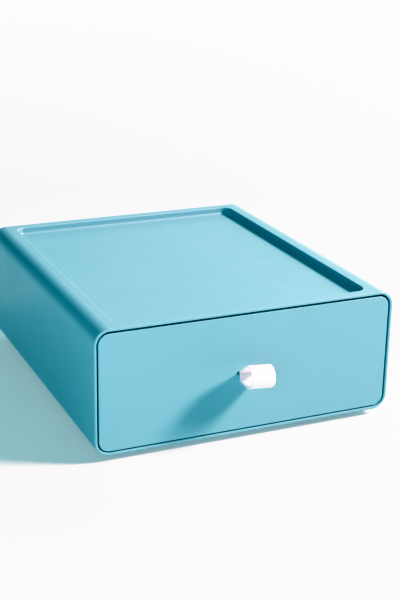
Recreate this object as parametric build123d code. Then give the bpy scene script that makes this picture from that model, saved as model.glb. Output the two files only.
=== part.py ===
from build123d import *
import os
from math import atan2, asin, cos, sin, hypot

# ---------------------------------------------------------------------------
# Stackable drawer box.  Millimetres, +Z up, +X to the right seen from the
# front, the drawer opens towards -Y.  The origin is the centre of the bounding
# box's bottom, on the surface the box stands on.
# ---------------------------------------------------------------------------

# outer sleeve
W = 225.0            # width of the shell
D = 250.0            # depth of the shell
HS = 90.7            # height of the shell itself, without the stacking ring
T = 2.1              # wall
R_OUT = 11.0         # rounding of the four long edges
LIFT = 4.8           # the shell's underside above the table

# stacking recess in the top
RIM_SIDE = 17.75     # rim left and right of the recess
RIM_FRONT = 8.3      # rim in front of and behind the recess
REC_DEPTH = 5.6
REC_R = 7.0

# stacking ring and feet under the base
RING_GAP = 1.1       # ring to recess wall, each side, when stacked
RING_T = 1.8
RING_H = 3.8
FOOT_D = 14.0
FOOT_T = 2.2
FOOT_PROUD = 1.0
FOOT_INSET = 15.0    # foot centre from the ring's outer faces

# drawer front
GAP = 1.1            # mean gap between drawer front and sleeve
FRONT_DROP = 0.3     # the front plate hangs this much below centre: 1.4 above, 0.8 below
FRONT_BACK_SET = 0.3 # the front panel sits this far behind the sleeve's edge
FRONT_T = 2.6
SLOT_L = 18.2        # slot for the pull
SLOT_H = 2.6

# drawer tub
TUB_T = 1.8
TUB_CLEAR = 1.0      # side clearance
TUB_FRONT = 8.0      # tub's front wall, from the sleeve's front edge
TUB_BACK = 236.0
TUB_TOP = 86.0       # height of the tub's rim above the table
RAIL_H = 1.0
RAIL_W = 3.0
RAIL_X = 80.0
TRAVEL = 175.0       # drawer travel to the stop

# pull
PULL_OUT = 24.0      # loop's reach in front of the sleeve
STRAP_W = 17.6
STRAP_T = 1.2
LOOP_R = 9.1         # outside radius of the loop's round part
LOOP_UP = 3.0        # loop centre above the slot's centre

# screws
FS_X, FS_Z = 70.0, 22.0      # front screws, from the panel's centre
CS_Z = 7.4                   # clamp screws, above and below the slot

YF = PULL_OUT - (D + PULL_OUT) / 2.0      # y of the sleeve's front edge
TOP = LIFT + HS
ZC = LIFT + HS / 2.0                      # height of the panel's centre

os.makedirs("parts", exist_ok=True)


def prism_y(w, h, r, y0, y1, cx=0.0, cz=ZC):
    """Rounded rectangle in XZ, from y0 to y1 behind the sleeve's front edge."""
    pl = Plane(origin=(cx, YF + y0, cz), x_dir=(1, 0, 0), z_dir=(0, -1, 0))
    sk = RectangleRounded(w, h, r) if r > 0 else Rectangle(w, h)
    return extrude(pl * sk, amount=-(y1 - y0))


def prism_z(w, l, r, z0, z1, cx=0.0, cy=0.0):
    pl = Plane(origin=(cx, cy, z0))
    sk = RectangleRounded(w, l, r) if r > 0 else Rectangle(w, l)
    return extrude(pl * sk, amount=z1 - z0)


def block(x0, x1, y0, y1, z0, z1):
    """Box between two corners; y counts back from the sleeve's front edge."""
    return Pos((x0 + x1) / 2, YF + (y0 + y1) / 2, (z0 + z1) / 2) * Box(
        abs(x1 - x0), abs(y1 - y0), abs(z1 - z0))


def rod_y(r, y0, y1, x, z):
    """Cylinder along Y from y0 to y1 behind the sleeve's front edge."""
    pl = Plane(origin=(x, YF + y0, z), x_dir=(1, 0, 0), z_dir=(0, -1, 0))
    return extrude(pl * Circle(r), amount=-(y1 - y0))


def rod_z(r, z0, z1, x, y):
    return extrude(Plane(origin=(x, y, z0)) * Circle(r), amount=z1 - z0)


def edges_at_y(shape, y, tol=0.02):
    out = []
    for e in shape.edges():
        b = e.bounding_box()
        if abs(b.min.Y - y) < tol and abs(b.max.Y - y) < tol:
            out.append(e)
    return out


def edges_at_z(shape, z, x_lim=None, y_lim=None, tol=0.02):
    out = []
    for e in shape.edges():
        b = e.bounding_box()
        if abs(b.min.Z - z) > tol or abs(b.max.Z - z) > tol:
            continue
        if x_lim is not None and max(abs(b.min.X), abs(b.max.X)) > x_lim:
            continue
        if y_lim is not None and (b.min.Y < y_lim[0] or b.max.Y > y_lim[1]):
            continue
        out.append(e)
    return out


def write(name, shape):
    shape = shape.clean() if hasattr(shape, "clean") else shape
    export_step(shape, "parts/" + name + ".step")
    print(name, len(shape.solids()), round(sum(s.volume for s in shape.solids()), 1))


# ---------------------------------------------------------------------------
# outer shell: one sleeve with the recess in its top, open at the front and at
# the back, where the rear panel closes it
# ---------------------------------------------------------------------------
REC_W = W - 2 * RIM_SIDE
REC_L = D - 2 * RIM_FRONT
REC_CY = YF + D / 2.0
REC_Z = TOP - REC_DEPTH

shell = prism_y(W, HS, R_OUT, 0, D)
shell = fillet(edges_at_y(shell, YF), 0.7)
shell = fillet(edges_at_y(shell, YF + D), 0.8)
cavity = prism_y(W - 2 * T, HS - 2 * T, R_OUT - T, -1, D + 1)
cavity -= prism_z(REC_W + 2 * T, REC_L + 2 * T, REC_R + T, REC_Z - T, TOP + 2, cy=REC_CY)
shell -= cavity
# inner front edge softened
inner_front = [e for e in edges_at_y(shell, YF)]
shell = fillet(inner_front, 0.45)
recess = prism_z(REC_W, REC_L, REC_R, REC_Z, TOP + 3, cy=REC_CY)
recess = fillet(edges_at_z(recess, REC_Z), 2.0)
shell -= recess
shell = fillet(edges_at_z(shell, TOP, x_lim=REC_W / 2 + 0.1,
                          y_lim=(YF + RIM_FRONT - 0.1, YF + D - RIM_FRONT + 0.1)), 1.0)

# low glide rails on the floor
for sx in (-1, 1):
    rail = prism_z(RAIL_W, 226.0, 1.4, LIFT + T - 0.5, LIFT + T + RAIL_H,
                   cx=sx * RAIL_X, cy=YF + 12 + 113.0)
    shell += rail

# stop ribs in the two hollow side rims, which the tub's rear tabs meet
STOP_Y1 = 234.0 - TRAVEL - 0.3
for sx in (-1, 1):
    shell += block(sx * (REC_W / 2 + T - 0.6), sx * 104.5, STOP_Y1 - 3.5, STOP_Y1,
                   TOP - 7.5, TOP - T + 0.4)

# shallow pockets in the side walls for the rear panel's snap nubs
for sx in (-1, 1):
    for dz in (-22.0, 22.0):
        shell -= block(sx * (W / 2 - T - 0.5), sx * (W / 2 - T + 0.8), 240.2, 243.2,
                       ZC + dz - 6.5, ZC + dz + 6.5)

# stacking ring under the base, and four round bosses with foot sockets
ring_w = REC_W - 2 * RING_GAP
ring_l = REC_L - 2 * RING_GAP
ring = prism_z(ring_w, ring_l, REC_R - 1.0, LIFT - RING_H, LIFT + 0.5, cy=REC_CY)
ring = fillet(edges_at_z(ring, LIFT - RING_H), 0.8)
ring -= prism_z(ring_w - 2 * RING_T, ring_l - 2 * RING_T, REC_R - 1.0 - RING_T,
                LIFT - RING_H - 1, LIFT + 1, cy=REC_CY)
shell += ring
FX = ring_w / 2 - FOOT_INSET
FY = ring_l / 2 - FOOT_INSET
feet_at = {
    "foot_front_left": (-FX, REC_CY - FY),
    "foot_front_right": (FX, REC_CY - FY),
    "foot_rear_left": (-FX, REC_CY + FY),
    "foot_rear_right": (FX, REC_CY + FY),
}
for (fx, fy) in feet_at.values():
    shell += rod_z(FOOT_D / 2 + 2.0, LIFT - RING_H, LIFT + 0.5, fx, fy)
    # webs tie each boss to the ring
    sgx = 1 if fx > 0 else -1
    sgy = 1 if fy > REC_CY else -1
    shell += Pos(fx + sgx * 10.5, fy, LIFT - RING_H / 2 + 0.25) * Box(9.0, 1.6, RING_H + 0.5)
    shell += Pos(fx, fy + sgy * 10.5, LIFT - RING_H / 2 + 0.25) * Box(1.6, 9.0, RING_H + 0.5)
for (fx, fy) in feet_at.values():
    shell -= rod_z(FOOT_D / 2 + 0.1, LIFT - RING_H - 1, LIFT - RING_H + FOOT_T - FOOT_PROUD, fx, fy)
write("outer_shell", shell)

# ---------------------------------------------------------------------------
# rubber feet
# ---------------------------------------------------------------------------
for name, (fx, fy) in feet_at.items():
    foot = rod_z(FOOT_D / 2, 0.0, FOOT_T, fx, fy)
    foot = fillet(edges_at_z(foot, 0.0), 0.5)
    write(name, foot)

# ---------------------------------------------------------------------------
# rear panel: flat plate that snaps into the sleeve's back end
# ---------------------------------------------------------------------------
RP_W, RP_H, RP_R = W - 2 * T - 0.3, HS - 2 * T - 0.3, R_OUT - T - 0.15
rear = prism_y(RP_W, RP_H, RP_R, D - 2.6, D - 0.5)
rear = fillet(edges_at_y(rear, YF + D - 0.5), 0.6)
for sx in (-1, 1):
    for dz in (-22.0, 22.0):
        xo = W / 2 - T - 0.15
        rear += block(sx * (xo - 1.4), sx * xo, 239.4, D - 2.0, ZC + dz - 6, ZC + dz + 6)
        rear += block(sx * (xo - 0.4), sx * (xo + 0.6), 240.6, 242.8, ZC + dz - 5.5, ZC + dz + 5.5)
# two stiffening ribs across the inside
for dz in (-12.0, 12.0):
    rear += block(-84, 84, D - 4.4, D - 2.2, ZC + dz - 0.7, ZC + dz + 0.7)
write("rear_panel", rear)

# ---------------------------------------------------------------------------
# drawer tub: open-topped tray that rides on the glide rails
# ---------------------------------------------------------------------------
TUB_W = W - 2 * T - 2 * TUB_CLEAR
TUB_Z0 = LIFT + T + RAIL_H + 0.05
TUB_H = TUB_TOP - TUB_Z0
tub_len = TUB_BACK - TUB_FRONT
tub_cy = YF + TUB_FRONT + tub_len / 2
# outside: rounded along its two lower long edges, like the sleeve inside
prof_r = R_OUT - T - TUB_CLEAR
tub = prism_y(TUB_W, TUB_H + 40, prof_r, TUB_FRONT, TUB_BACK, cz=TUB_Z0 + (TUB_H + 40) / 2)
tub -= block(-W, W, TUB_FRONT - 5, TUB_BACK + 5, TUB_TOP, TUB_TOP + 80)
tub = fillet([e for e in tub.edges()
              if abs(e.bounding_box().min.Y - e.bounding_box().max.Y) < 0.02
              and e.bounding_box().max.Z < TUB_TOP - 0.01 + 0.0
              and e.bounding_box().max.Z < TUB_Z0 + 0.05], 1.2)
inner = prism_y(TUB_W - 2 * TUB_T, TUB_H + 40 - TUB_T, prof_r - TUB_T,
                TUB_FRONT + 2.0, TUB_BACK - 2.0, cz=TUB_Z0 + 2.0 + (TUB_H + 40 - TUB_T) / 2)
inner = fillet([e for e in inner.edges()
                if abs(e.bounding_box().min.Y - e.bounding_box().max.Y) < 0.02
                and e.bounding_box().max.Z < TUB_Z0 + 30.0 + TUB_H * 0.0
                and e.bounding_box().max.Z < TUB_Z0 + 2.05], 3.0)
tub -= inner
# holes for the four screws that hold the front
for sx in (-1, 1):
    for sz in (-1, 1):
        tub -= rod_y(1.6, TUB_FRONT - 1, TUB_FRONT + 3, sx * FS_X, ZC + sz * FS_Z)
# two stop tabs on the rear wall, inside the hollow side rims
for sx in (-1, 1):
    tub += block(sx * 98.5, sx * 103.5, TUB_BACK - 2.0, TUB_BACK, TUB_TOP - 0.5, TOP - 4.6)
    # gusset behind each tab
    tub += block(sx * 100.2, sx * 101.8, TUB_BACK - 0.5, TUB_BACK + 3.5, TUB_TOP - 16, TOP - 4.6)
write("drawer_tub", tub)

# ---------------------------------------------------------------------------
# drawer front: plate inside the sleeve's front edge, with four screw bosses
# ---------------------------------------------------------------------------
PW, PH, PR = W - 2 * T - 2 * GAP, HS - 2 * T - 2 * GAP, R_OUT - T - GAP
FB = FRONT_BACK_SET + FRONT_T
front = prism_y(PW, PH, PR, FRONT_BACK_SET, FB, cz=ZC - FRONT_DROP)
front = fillet(edges_at_y(front, YF + FRONT_BACK_SET), 0.5)
for sx in (-1, 1):
    for sz in (-1, 1):
        front += rod_y(3.75, FB - 0.4, TUB_FRONT, sx * FS_X, ZC + sz * FS_Z)
for sx in (-1, 1):
    for sz in (-1, 1):
        front -= rod_y(1.25, 2.0, TUB_FRONT + 1, sx * FS_X, ZC + sz * FS_Z)
# stiffening ribs between the bosses
for sz in (-1, 1):
    front += block(-FS_X + 3, FS_X - 3, FB - 0.4, FB + 1.8, ZC + sz * FS_Z - 0.7, ZC + sz * FS_Z + 0.7)
# small bosses that locate the strap's two tails
for sz in (-1, 1):
    front += rod_y(2.2, FB - 0.4, FB + STRAP_T, 0, ZC + sz * CS_Z)
for sz in (-1, 1):
    front -= rod_y(1.0, 1.2, FB + STRAP_T + 1, 0, ZC + sz * CS_Z)
# slot for the pull, round at both ends
slot = prism_y(SLOT_L, SLOT_H, SLOT_H / 2 - 0.001, -1, FB + 1)
front -= slot
write("drawer_front", front)

# ---------------------------------------------------------------------------
# screws that hold the front, put in from inside the tub
# ---------------------------------------------------------------------------
def screw(x, z, y_head, head_r, head_h, shank_r, shank_len, cross):
    s = rod_y(head_r, y_head, y_head + head_h, x, z)
    far = edges_at_y(s, YF + y_head + head_h)
    s = fillet(far, head_h * 0.45)
    s += rod_y(shank_r, y_head - shank_len, y_head + 0.2, x, z)
    s -= block(x - cross, x + cross, y_head + head_h * 0.45, y_head + head_h + 1,
               z - cross * 0.28, z + cross * 0.28)
    s -= block(x - cross * 0.28, x + cross * 0.28, y_head + head_h * 0.45,
               y_head + head_h + 1, z - cross, z + cross)
    return s


solids = []
for sx in (-1, 1):
    for sz in (-1, 1):
        solids += screw(sx * FS_X, ZC + sz * FS_Z, TUB_FRONT + 2.0, 2.8, 2.0, 1.22, 6.8, 1.5).solids()
write("front_screws", Compound(children=solids))

# ---------------------------------------------------------------------------
# pull: one strap, folded into a loop; its two layers go through the slot and
# its tails fold up and down behind the panel
# ---------------------------------------------------------------------------
YL = YF + FRONT_BACK_SET                   # y of the panel's face
LCX = PULL_OUT + FRONT_BACK_SET - LOOP_R   # loop centre, forward of the face


def teardrop(r, half):
    """Closed face in YZ: two straight sides tangent to a circle, u forward of
    the panel's face and v above the slot's centre."""
    pts = []
    for s in (1, -1):
        px, pz = 0.0, s * half
        dx, dz = LCX - px, LOOP_UP - pz
        dist = hypot(dx, dz)
        a = atan2(dz, dx) + s * asin(r / dist)
        ln = (dist ** 2 - r ** 2) ** 0.5
        pts.append(((px, pz), (px + ln * cos(a), pz + ln * sin(a))))
    (p0, t0), (p1, t1) = pts
    to = lambda p: (0.0, YL - p[0], ZC + p[1])
    mid = (LCX + r, LOOP_UP)
    e = [Line(to(p0), to(t0)), ThreePointArc(to(t0), to(mid), to(t1)), Line(to(t1), to(p1))]
    if half > 0:
        e.append(Line(to(p1), to(p0)))
    return Face(Wire(e))


outer_face = teardrop(LOOP_R, STRAP_T)
loop = extrude(outer_face, amount=STRAP_W / 2, dir=(1, 0, 0), both=True)
# inside of the loop: the same shape, one strap thickness in
in_half = 0.12
dxi = 2.1                                   # where the two layers part
Ri = LOOP_R - STRAP_T


def teardrop_in():
    pts = []
    for s in (1, -1):
        px, pz = dxi, 0.25
        dx, dz = LCX - px, LOOP_UP - pz
        dist = hypot(dx, dz)
        a = atan2(dz, dx) + s * asin(Ri / dist)
        ln = (dist ** 2 - Ri ** 2) ** 0.5
        pts.append((px + ln * cos(a), pz + ln * sin(a)))
    to = lambda p: (0.0, YL - p[0], ZC + p[1])
    tip = (dxi, 0.25)
    e = [Line(to(tip), to(pts[0])), ThreePointArc(to(pts[0]), to((LCX + Ri, LOOP_UP)), to(pts[1])),
         Line(to(pts[1]), to(tip))]
    return Face(Wire(e))


loop -= extrude(teardrop_in(), amount=STRAP_W / 2 + 1, dir=(1, 0, 0), both=True)
strap = loop
strap += block(-STRAP_W / 2, STRAP_W / 2, FRONT_BACK_SET - 0.05, FB + STRAP_T, ZC - STRAP_T, ZC + STRAP_T)
strap += block(-STRAP_W / 2, STRAP_W / 2, FB + 0.02, FB + STRAP_T, ZC - 12.5, ZC + 12.5)
for sz in (-1, 1):
    strap -= rod_y(2.35, FB - 0.2, FB + STRAP_T + 1, 0, ZC + sz * CS_Z)
write("pull_strap", strap)

# ---------------------------------------------------------------------------
# clamp plate behind the strap's tails, with two small screws
# ---------------------------------------------------------------------------
CP_Y = FB + STRAP_T + 0.02
plate = prism_y(22.0, 27.0, 3.0, CP_Y, CP_Y + 1.6)
for sz in (-1, 1):
    plate -= rod_y(1.2, CP_Y - 1, CP_Y + 3, 0, ZC + sz * CS_Z)
write("pull_clamp_plate", plate)

solids = []
for sz in (-1, 1):
    solids += screw(0, ZC + sz * CS_Z, CP_Y + 1.6, 2.0, 1.3, 0.97, 4.2, 1.1).solids()
write("clamp_screws", Compound(children=solids))
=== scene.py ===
import bpy, bmesh, math
from math import sin, cos, radians, pi
from mathutils import Vector, Matrix


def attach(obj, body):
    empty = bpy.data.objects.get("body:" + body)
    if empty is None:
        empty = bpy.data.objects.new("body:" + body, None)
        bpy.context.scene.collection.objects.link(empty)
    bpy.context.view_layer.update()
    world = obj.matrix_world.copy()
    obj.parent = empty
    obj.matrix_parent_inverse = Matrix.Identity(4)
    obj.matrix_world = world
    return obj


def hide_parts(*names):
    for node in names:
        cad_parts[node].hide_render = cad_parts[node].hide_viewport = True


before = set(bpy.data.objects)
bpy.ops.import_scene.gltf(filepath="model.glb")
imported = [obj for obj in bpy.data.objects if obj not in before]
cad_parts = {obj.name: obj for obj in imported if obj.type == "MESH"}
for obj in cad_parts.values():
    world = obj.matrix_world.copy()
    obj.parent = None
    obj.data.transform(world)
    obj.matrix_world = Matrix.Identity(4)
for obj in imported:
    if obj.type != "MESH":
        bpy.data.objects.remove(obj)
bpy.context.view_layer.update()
scene = bpy.context.scene

# ---------------------------------------------------------------- main sizes
# metres, from the CAD: the shell's front edge, its underside, its middle
W, D, HS, LIFT = 0.225, 0.250, 0.0907, 0.0048
YF = -0.113
ZC = LIFT + HS / 2
YP = YF + 0.0003                      # face of the drawer front


# ================================================================= camera
# fitted to the box's own edges; lengths in widths of the shell
yaw, pitch, roll = radians(24.11), radians(-19.68), radians(1.08)
cam_at = Vector(((-1.0825 - 0.5) * W, YF - 3.1621 * W, LIFT + 1.693 * W))
fwd = Vector((sin(yaw) * cos(pitch), cos(yaw) * cos(pitch), sin(pitch)))
right = Vector((cos(yaw), -sin(yaw), 0.0))
up = right.cross(fwd)
r2 = cos(roll) * right + sin(roll) * up
u2 = -sin(roll) * right + cos(roll) * up
cam_data = bpy.data.cameras.new("camera")
cam_data.sensor_width = 36.0
cam_data.lens = 1253.0 / 601.0 * 36.0
cam_data.clip_start, cam_data.clip_end = 0.05, 100.0
cam = bpy.data.objects.new("camera", cam_data)
scene.collection.objects.link(cam)
m = Matrix((
    (r2.x, u2.x, -fwd.x, cam_at.x),
    (r2.y, u2.y, -fwd.y, cam_at.y),
    (r2.z, u2.z, -fwd.z, cam_at.z),
    (0, 0, 0, 1)))
cam.matrix_world = m
scene.camera = cam


# ================================================================= materials
def nt_of(mat):
    mat.use_nodes = True
    nt = mat.node_tree
    nt.nodes.clear()
    out = nt.nodes.new("ShaderNodeOutputMaterial")
    bsdf = nt.nodes.new("ShaderNodeBsdfPrincipled")
    nt.links.new(bsdf.outputs["BSDF"], out.inputs["Surface"])
    return nt, bsdf


def coords(nt, scale=1.0):
    tc = nt.nodes.new("ShaderNodeTexCoord")
    mp = nt.nodes.new("ShaderNodeMapping")
    mp.inputs["Scale"].default_value = (scale, scale, scale)
    nt.links.new(tc.outputs["Object"], mp.inputs["Vector"])
    return mp.outputs["Vector"]


def noise(nt, vec, scale, detail=2.0, rough=0.5):
    n = nt.nodes.new("ShaderNodeTexNoise")
    n.inputs["Scale"].default_value = scale
    n.inputs["Detail"].default_value = detail
    n.inputs["Roughness"].default_value = rough
    nt.links.new(vec, n.inputs["Vector"])
    return n.outputs["Fac"]


def ramp(nt, fac, stops):
    r = nt.nodes.new("ShaderNodeValToRGB")
    els = r.color_ramp.elements
    while len(els) > 1:
        els.remove(els[-1])
    els[0].position, els[0].color = stops[0][0], (*stops[0][1], 1)
    for p, c in stops[1:]:
        e = els.new(p)
        e.color = (*c, 1)
    nt.links.new(fac, r.inputs["Fac"])
    return r.outputs["Color"]


def map_range(nt, fac, a, b, lo=0.0, hi=1.0):
    n = nt.nodes.new("ShaderNodeMapRange")
    n.inputs["From Min"].default_value = lo
    n.inputs["From Max"].default_value = hi
    n.inputs["To Min"].default_value = a
    n.inputs["To Max"].default_value = b
    nt.links.new(fac, n.inputs["Value"])
    return n.outputs["Result"]


def bump(nt, height, strength, distance, normal=None):
    b = nt.nodes.new("ShaderNodeBump")
    b.inputs["Strength"].default_value = strength
    b.inputs["Distance"].default_value = distance
    nt.links.new(height, b.inputs["Height"])
    if normal is not None:
        nt.links.new(normal, b.inputs["Normal"])
    return b.outputs["Normal"]


def plastic(name, c_lo, c_hi, rough_lo, rough_hi, grain=0.12, wave=0.05, spec=0.5):
    """Satin moulded plastic: fine spark-eroded grain, faint slow waviness of the moulded walls, slight variation of colour and gloss."""
    mat = bpy.data.materials.new(name)
    nt, b = nt_of(mat)
    v = coords(nt)
    big = noise(nt, v, 9.0, 2.0)
    nt.links.new(ramp(nt, big, [(0.3, c_lo), (0.7, c_hi)]), b.inputs["Base Color"])
    mid = noise(nt, v, 60.0, 3.0)
    nt.links.new(map_range(nt, mid, rough_lo, rough_hi, 0.3, 0.7), b.inputs["Roughness"])
    fine = noise(nt, v, 2600.0, 2.0, 0.6)
    n1 = bump(nt, noise(nt, v, 22.0, 1.0), wave, 0.0006)
    n2 = bump(nt, fine, grain, 0.00004, n1)
    nt.links.new(n2, b.inputs["Normal"])
    b.inputs["Specular IOR Level"].default_value = spec
    b.inputs["IOR"].default_value = 1.5
    return mat


TEAL_LO, TEAL_HI = (0.248, 0.465, 0.536), (0.260, 0.478, 0.550)
m_shell = plastic("shell_satin_plastic", TEAL_LO, TEAL_HI, 0.36, 0.42, spec=0.45)
m_drawer = plastic("drawer_satin_plastic", TEAL_LO, TEAL_HI, 0.38, 0.44, spec=0.45)

m_rubber = bpy.data.materials.new("foot_rubber")
nt, b = nt_of(m_rubber)
v = coords(nt)
nt.links.new(ramp(nt, noise(nt, v, 300.0, 3.0), [(0.3, (0.50, 0.53, 0.54)), (0.7, (0.58, 0.61, 0.62))]), b.inputs["Base Color"])
nt.links.new(map_range(nt, noise(nt, v, 900.0, 2.0), 0.75, 0.9), b.inputs["Roughness"])
nt.links.new(bump(nt, noise(nt, v, 1500.0, 2.0), 0.3, 0.0001), b.inputs["Normal"])

m_steel = bpy.data.materials.new("screw_zinc")
nt, b = nt_of(m_steel)
v = coords(nt)
b.inputs["Metallic"].default_value = 1.0
nt.links.new(ramp(nt, noise(nt, v, 700.0, 3.0), [(0.3, (0.62, 0.63, 0.65)), (0.7, (0.74, 0.74, 0.75))]), b.inputs["Base Color"])
nt.links.new(map_range(nt, noise(nt, v, 1200.0, 3.0), 0.22, 0.38), b.inputs["Roughness"])
nt.links.new(bump(nt, noise(nt, v, 2500.0, 2.0), 0.15, 0.00003), b.inputs["Normal"])

m_clamp = plastic("clamp_plastic", (0.78, 0.79, 0.80), (0.84, 0.85, 0.86), 0.45, 0.55)


def strap_material():
    """Soft matt white strap: smooth coated face with a very fine grain."""
    mat = bpy.data.materials.new("pull_strap_white")
    nt, b = nt_of(mat)
    v = coords(nt)
    nt.links.new(ramp(nt, noise(nt, v, 260.0, 3.0), [(0.3, (0.84, 0.835, 0.85)), (0.7, (0.89, 0.885, 0.90))]), b.inputs["Base Color"])
    nt.links.new(map_range(nt, noise(nt, v, 700.0, 2.0), 0.48, 0.6), b.inputs["Roughness"])
    vor = nt.nodes.new("ShaderNodeTexVoronoi")
    vor.inputs["Scale"].default_value = 2600.0
    nt.links.new(v, vor.inputs["Vector"])
    n1 = bump(nt, noise(nt, v, 240.0, 2.0), 0.10, 0.0003)
    nt.links.new(bump(nt, vor.outputs["Distance"], 0.12, 0.00005, n1), b.inputs["Normal"])
    b.inputs["Sheen Weight"].default_value = 0.15
    b.inputs["Sheen Roughness"].default_value = 0.5
    b.inputs["Subsurface Weight"].default_value = 0.5
    b.inputs["Subsurface Radius"].default_value = (0.0020, 0.0019, 0.0019)
    b.inputs["Subsurface Scale"].default_value = 1.0
    return mat


m_strap = strap_material()

looks = {
    "outer_shell": m_shell, "rear_panel": m_shell,
    "drawer_tub": m_drawer, "drawer_front": m_drawer,
    "foot_front_left": m_rubber, "foot_front_right": m_rubber,
    "foot_rear_left": m_rubber, "foot_rear_right": m_rubber,
    "front_screws": m_steel, "clamp_screws": m_steel,
    "pull_clamp_plate": m_clamp, "pull_strap": m_strap,
}
for name, mat in looks.items():
    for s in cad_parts[name].material_slots:
        s.material = mat


# ================================================================= the pull
def catmull(pts, per):
    """Points of a smooth line through pts."""
    out = []
    n = len(pts)
    for i in range(n - 1):
        p0 = pts[max(i - 1, 0)]
        p1, p2 = pts[i], pts[i + 1]
        p3 = pts[min(i + 2, n - 1)]
        for k in range(per):
            t = k / per
            q = [0.5 * ((2 * b1) + (-a0 + c1) * t + (2 * a0 - 5 * b1 + 4 * c1 - d1) * t * t
                        + (-a0 + 3 * b1 - 3 * c1 + d1) * t ** 3)
                 for a0, b1, c1, d1 in zip(p0, p1, p2, p3)]
            out.append(tuple(q))
    out.append(tuple(pts[-1]))
    return out


def make_pull():
    """One strap: up the back of the front panel, out through the slot, round the
    loop, back in and down.  u is forward of the panel's face, v above the slot."""
    th = 1.2
    h = th / 2
    mid = [
        (-3.21, 12.4), (-3.21, 9.0), (-3.21, 5.0), (-3.21, 3.0), (-3.21, 1.75), (-3.05, 0.95), (-2.6, 0.64), (-1.6, 0.625),
        (-0.4, 0.63), (0.6, 0.68), (1.6, 0.92), (2.9, 1.55), (4.6, 2.75), (7.0, 4.65), (9.4, 6.65), (11.8, 8.55), (14.3, 9.85),
        (17.0, 10.15), (19.5, 9.25), (21.5, 7.25), (22.7, 4.4), (22.7, 1.4), (21.6, -1.4), (19.4, -3.85), (16.3, -5.25),
        (12.6, -5.15), (8.8, -4.6), (5.6, -3.95), (3.3, -3.05), (1.8, -2.0), (0.8, -1.05), (-0.2, -0.66),
        (-1.6, -0.625), (-2.6, -0.64), (-3.05, -0.95), (-3.21, -1.75), (-3.21, -3.0), (-3.21, -5.0), (-3.21, -9.0), (-3.21, -12.4)]
    line = catmull(mid, 6)
    n = len(line)
    nx = 14
    bm = bmesh.new()
    rings = []
    for i, (u, v) in enumerate(line):
        a = line[max(i - 1, 0)]
        c = line[min(i + 1, n - 1)]
        tu, tv = c[0] - a[0], c[1] - a[1]
        ln = math.hypot(tu, tv) or 1.0
        nu, nv = -tv / ln, tu / ln
        f = max(0.0, min(1.0, u / 12.0))
        f = f * f * (3 - 2 * f)
        g = max(0.0, min(1.0, (u + 0.5) / 6.0))
        half = 7.25 + 1.55 * g * g * (3 - 2 * g)      # narrower where the slot grips it
        roll_ = -0.085 * f                            # the loop leans: its right end hangs lower
        ring = []
        # cross-section: flat strap with rounded cut edges
        sec = []
        r = 0.5
        for k in range(nx + 1):
            x = -half + r + (2 * half - 2 * r) * k / nx
            sec.append((x, h))
        for k in range(1, 4):
            a2 = pi / 2 - (pi / 2) * k / 4
            sec.append((half - r + r * cos(a2), h - r + r * sin(a2)))
        sec.append((half, h - r))
        sec.append((half, -h + r))
        for k in range(1, 4):
            a2 = -(pi / 2) * k / 4
            sec.append((half - r + r * cos(a2), -h + r + r * sin(a2)))
        for k in range(nx + 1):
            x = half - r - (2 * half - 2 * r) * k / nx
            sec.append((x, -h))
        for k in range(1, 4):
            a2 = -pi / 2 - (pi / 2) * k / 4
            sec.append((-half + r + r * cos(a2), -h + r + r * sin(a2)))
        sec.append((-half, -h + r))
        sec.append((-half, h - r))
        for k in range(1, 4):
            a2 = pi - (pi / 2) * k / 4
            sec.append((-half + r + r * cos(a2), h - r + r * sin(a2)))
        for (x, s) in sec:
            uu = u + nu * s
            vv = v + nv * s + roll_ * x
            p = Vector((x / 1000.0, YP - uu / 1000.0, ZC + vv / 1000.0))
            ring.append(bm.verts.new(p))
        rings.append(ring)
    m_ = len(rings[0])
    for i in range(n - 1):
        for j in range(m_):
            a, b_ = rings[i][j], rings[i][(j + 1) % m_]
            c, d = rings[i + 1][(j + 1) % m_], rings[i + 1][j]
            bm.faces.new((a, b_, c, d))
    bm.faces.new(list(reversed(rings[0])))
    bm.faces.new(rings[-1])
    bmesh.ops.recalc_face_normals(bm, faces=bm.faces)
    me = bpy.data.meshes.new("pull_loop")
    bm.to_mesh(me)
    bm.free()
    o = bpy.data.objects.new("pull_loop", me)
    scene.collection.objects.link(o)
    me.materials.append(m_strap)
    # holes in the two tails, for the bosses that locate them
    cutters = []
    for sz in (-1, 1):
        cb = bmesh.new()
        bmesh.ops.create_cone(cb, cap_ends=True, segments=40, radius1=0.00235, radius2=0.00235, depth=0.004,
                              matrix=Matrix.Translation((0.0, YP + 0.0032, ZC + sz * 0.0074)) @ Matrix.Rotation(pi / 2, 4, "X"))
        cm_ = bpy.data.meshes.new("cut")
        cb.to_mesh(cm_)
        cb.free()
        c = bpy.data.objects.new("cut", cm_)
        scene.collection.objects.link(c)
        cutters.append(c)
        md = o.modifiers.new("hole", "BOOLEAN")
        md.operation, md.solver, md.object = "DIFFERENCE", "EXACT", c
    done = bpy.data.meshes.new_from_object(o.evaluated_get(bpy.context.evaluated_depsgraph_get()))
    o.modifiers.clear()
    o.data = done
    done.name = "pull_loop"
    for c in cutters:
        bpy.data.objects.remove(c, do_unlink=True)
    for p in done.polygons:
        p.use_smooth = True
    done.set_sharp_from_angle(angle=radians(50))
    return o


pull = make_pull()
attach(pull, "drawer")
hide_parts("pull_strap")


# ================================================================= floor, light
def area(name, at, to, size, power, colour=(1, 1, 1), size_y=None):
    d = bpy.data.lights.new(name, "AREA")
    d.energy = power
    d.color = colour
    d.size = size
    if size_y:
        d.shape = "RECTANGLE"
        d.size_y = size_y
    o = bpy.data.objects.new(name, d)
    scene.collection.objects.link(o)
    o.location = at
    o.rotation_euler = (Vector(to) - Vector(at)).to_track_quat("-Z", "Y").to_euler()
    return o


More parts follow.
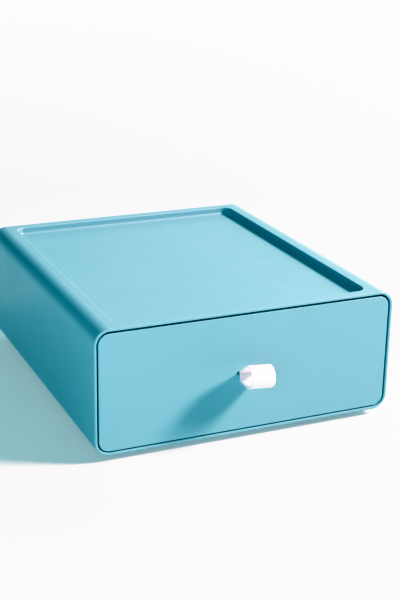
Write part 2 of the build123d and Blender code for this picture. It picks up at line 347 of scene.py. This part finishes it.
fm = bpy.data.materials.new("floor_pale_painted_glow")
nt, b = nt_of(fm)
b.inputs["Base Color"].default_value = (0.45, 0.55, 0.56, 1)
b.inputs["Roughness"].default_value = 0.9
b.inputs["Specular IOR Level"].default_value = 0.1
b.inputs["Emission Color"].default_value = (0.32, 0.31, 0.31, 1)  # painted light: the floor glows, which lightens the box's cast shadow into a soft, pale one and adds bounce light
# painted light: the floor's glow grows with distance from the box and stands in for light on the far floor, so that it
# stays as pale as the floor round the box
glow_by_distance = nt.nodes.new("ShaderNodeVectorMath")
glow_by_distance.operation = "LENGTH"
nt.links.new(nt.nodes.new("ShaderNodeTexCoord").outputs["Object"], glow_by_distance.inputs[0])
# painted light: emission strength rises from 1.0 near the box to 4.2 at 5 m
nt.links.new(map_range(nt, glow_by_distance.outputs["Value"], 1.0, 4.2, 0.6, 5.0), b.inputs["Emission Strength"])
me = bpy.data.meshes.new("floor")
s = 30.0
me.from_pydata([(-s, -s, 0), (s, -s, 0), (s, s, 0), (-s, s, 0)], [], [(0, 1, 2, 3)])
me.materials.append(fm)
floor = bpy.data.objects.new("floor", me)
scene.collection.objects.link(floor)

# soft surround: a broad cool lobe from the left, a narrower one low behind the box
world = bpy.data.worlds.new("studio")
scene.world = world
world.use_nodes = True
wt = world.node_tree
bg = wt.nodes["Background"]
tc = wt.nodes.new("ShaderNodeTexCoord")


def lobe(direction, power, colour):
    dot = wt.nodes.new("ShaderNodeVectorMath")
    dot.operation = "DOT_PRODUCT"
    wt.links.new(tc.outputs["Generated"], dot.inputs[0])
    dot.inputs[1].default_value = Vector(direction).normalized()
    mx = wt.nodes.new("ShaderNodeMath")
    mx.operation = "MAXIMUM"
    mx.inputs[1].default_value = 0.0
    wt.links.new(dot.outputs["Value"], mx.inputs[0])
    pw = wt.nodes.new("ShaderNodeMath")
    pw.operation = "POWER"
    pw.inputs[1].default_value = power
    wt.links.new(mx.outputs[0], pw.inputs[0])
    sc = wt.nodes.new("ShaderNodeVectorMath")
    sc.operation = "SCALE"
    sc.inputs[0].default_value = colour
    wt.links.new(pw.outputs[0], sc.inputs["Scale"])
    return sc.outputs["Vector"]


total = lobe((-0.7, -0.5, 0.35), 3.0, (0.09, 0.245, 0.295))
for direction, power, colour in (
        ((0.0, 0.0, 1.0), 3.0, (0.42, 0.70, 0.75)),
        ((0.407, 0.914, 0.36), 16.0, (0.72, 0.96, 1.02)),
        ((0.82, 0.57, 0.36), 16.0, (2.12, 2.92, 3.06))):
    add = wt.nodes.new("ShaderNodeVectorMath")
    add.operation = "ADD"
    wt.links.new(total, add.inputs[0])
    wt.links.new(lobe(direction, power, colour), add.inputs[1])
    total = add.outputs["Vector"]
wt.links.new(total, bg.inputs["Color"])
bg.inputs["Strength"].default_value = 1.0

# one key from the right, in front and above, and a weak fill from the left front
aim = Vector((0.0, -0.05, 0.05))
to_key = Vector((0.726, -0.343, 0.596)).normalized()
key = area("key", aim + to_key * 4.0, aim, 0.78, 378.0, (1.0, 0.607, 0.582))
fill = area("front_left_fill", (-0.75, -0.75, 0.25), (-0.1, -0.1, 0.05), 0.9, 5.2, (0.60, 0.82, 0.89))
key.visible_camera = fill.visible_camera = False

# print-like contrast: a toe, a straight middle and a soft shoulder
scene.view_settings.view_transform = "Standard"
scene.view_settings.look = "None"
scene.view_settings.exposure = 0.0
scene.view_settings.use_curve_mapping = True
cm = scene.view_settings.curve_mapping
cm.use_clip = True
cm.clip_min_x, cm.clip_min_y, cm.clip_max_x, cm.clip_max_y = 0.0, 0.0, 2.0, 1.0
cm.extend = "HORIZONTAL"
SLOPE, KNEE = 1.9, 1.057


def tone(x):
    return x ** SLOPE / (x ** SLOPE + KNEE ** SLOPE) * (1 + KNEE ** SLOPE)


shoulder = [(0.9, 0.885), (1.0, 0.942), (1.15, 0.974), (1.4, 0.992), (1.8, 1.0)]
for ch, toe in ((0, 0.10), (1, 0.0), (2, 0.0)):
    c = cm.curves[ch]
    pts = [(x, tone(x)) for x in (0.06, 0.12, 0.2, 0.3, 0.4, 0.5, 0.6, 0.7, 0.8)] + shoulder[:-1]
    pts = [(toe + (1 - toe) * x, y) for x, y in pts]
    c.points[0].location = (toe, 0.0)
    c.points[-1].location = (toe + (1 - toe) * shoulder[-1][0], shoulder[-1][1])
    for x, y in pts:
        c.points.new(x, y)
    for q in c.points:
        q.handle_type = "AUTO_CLAMPED"
cm.update()
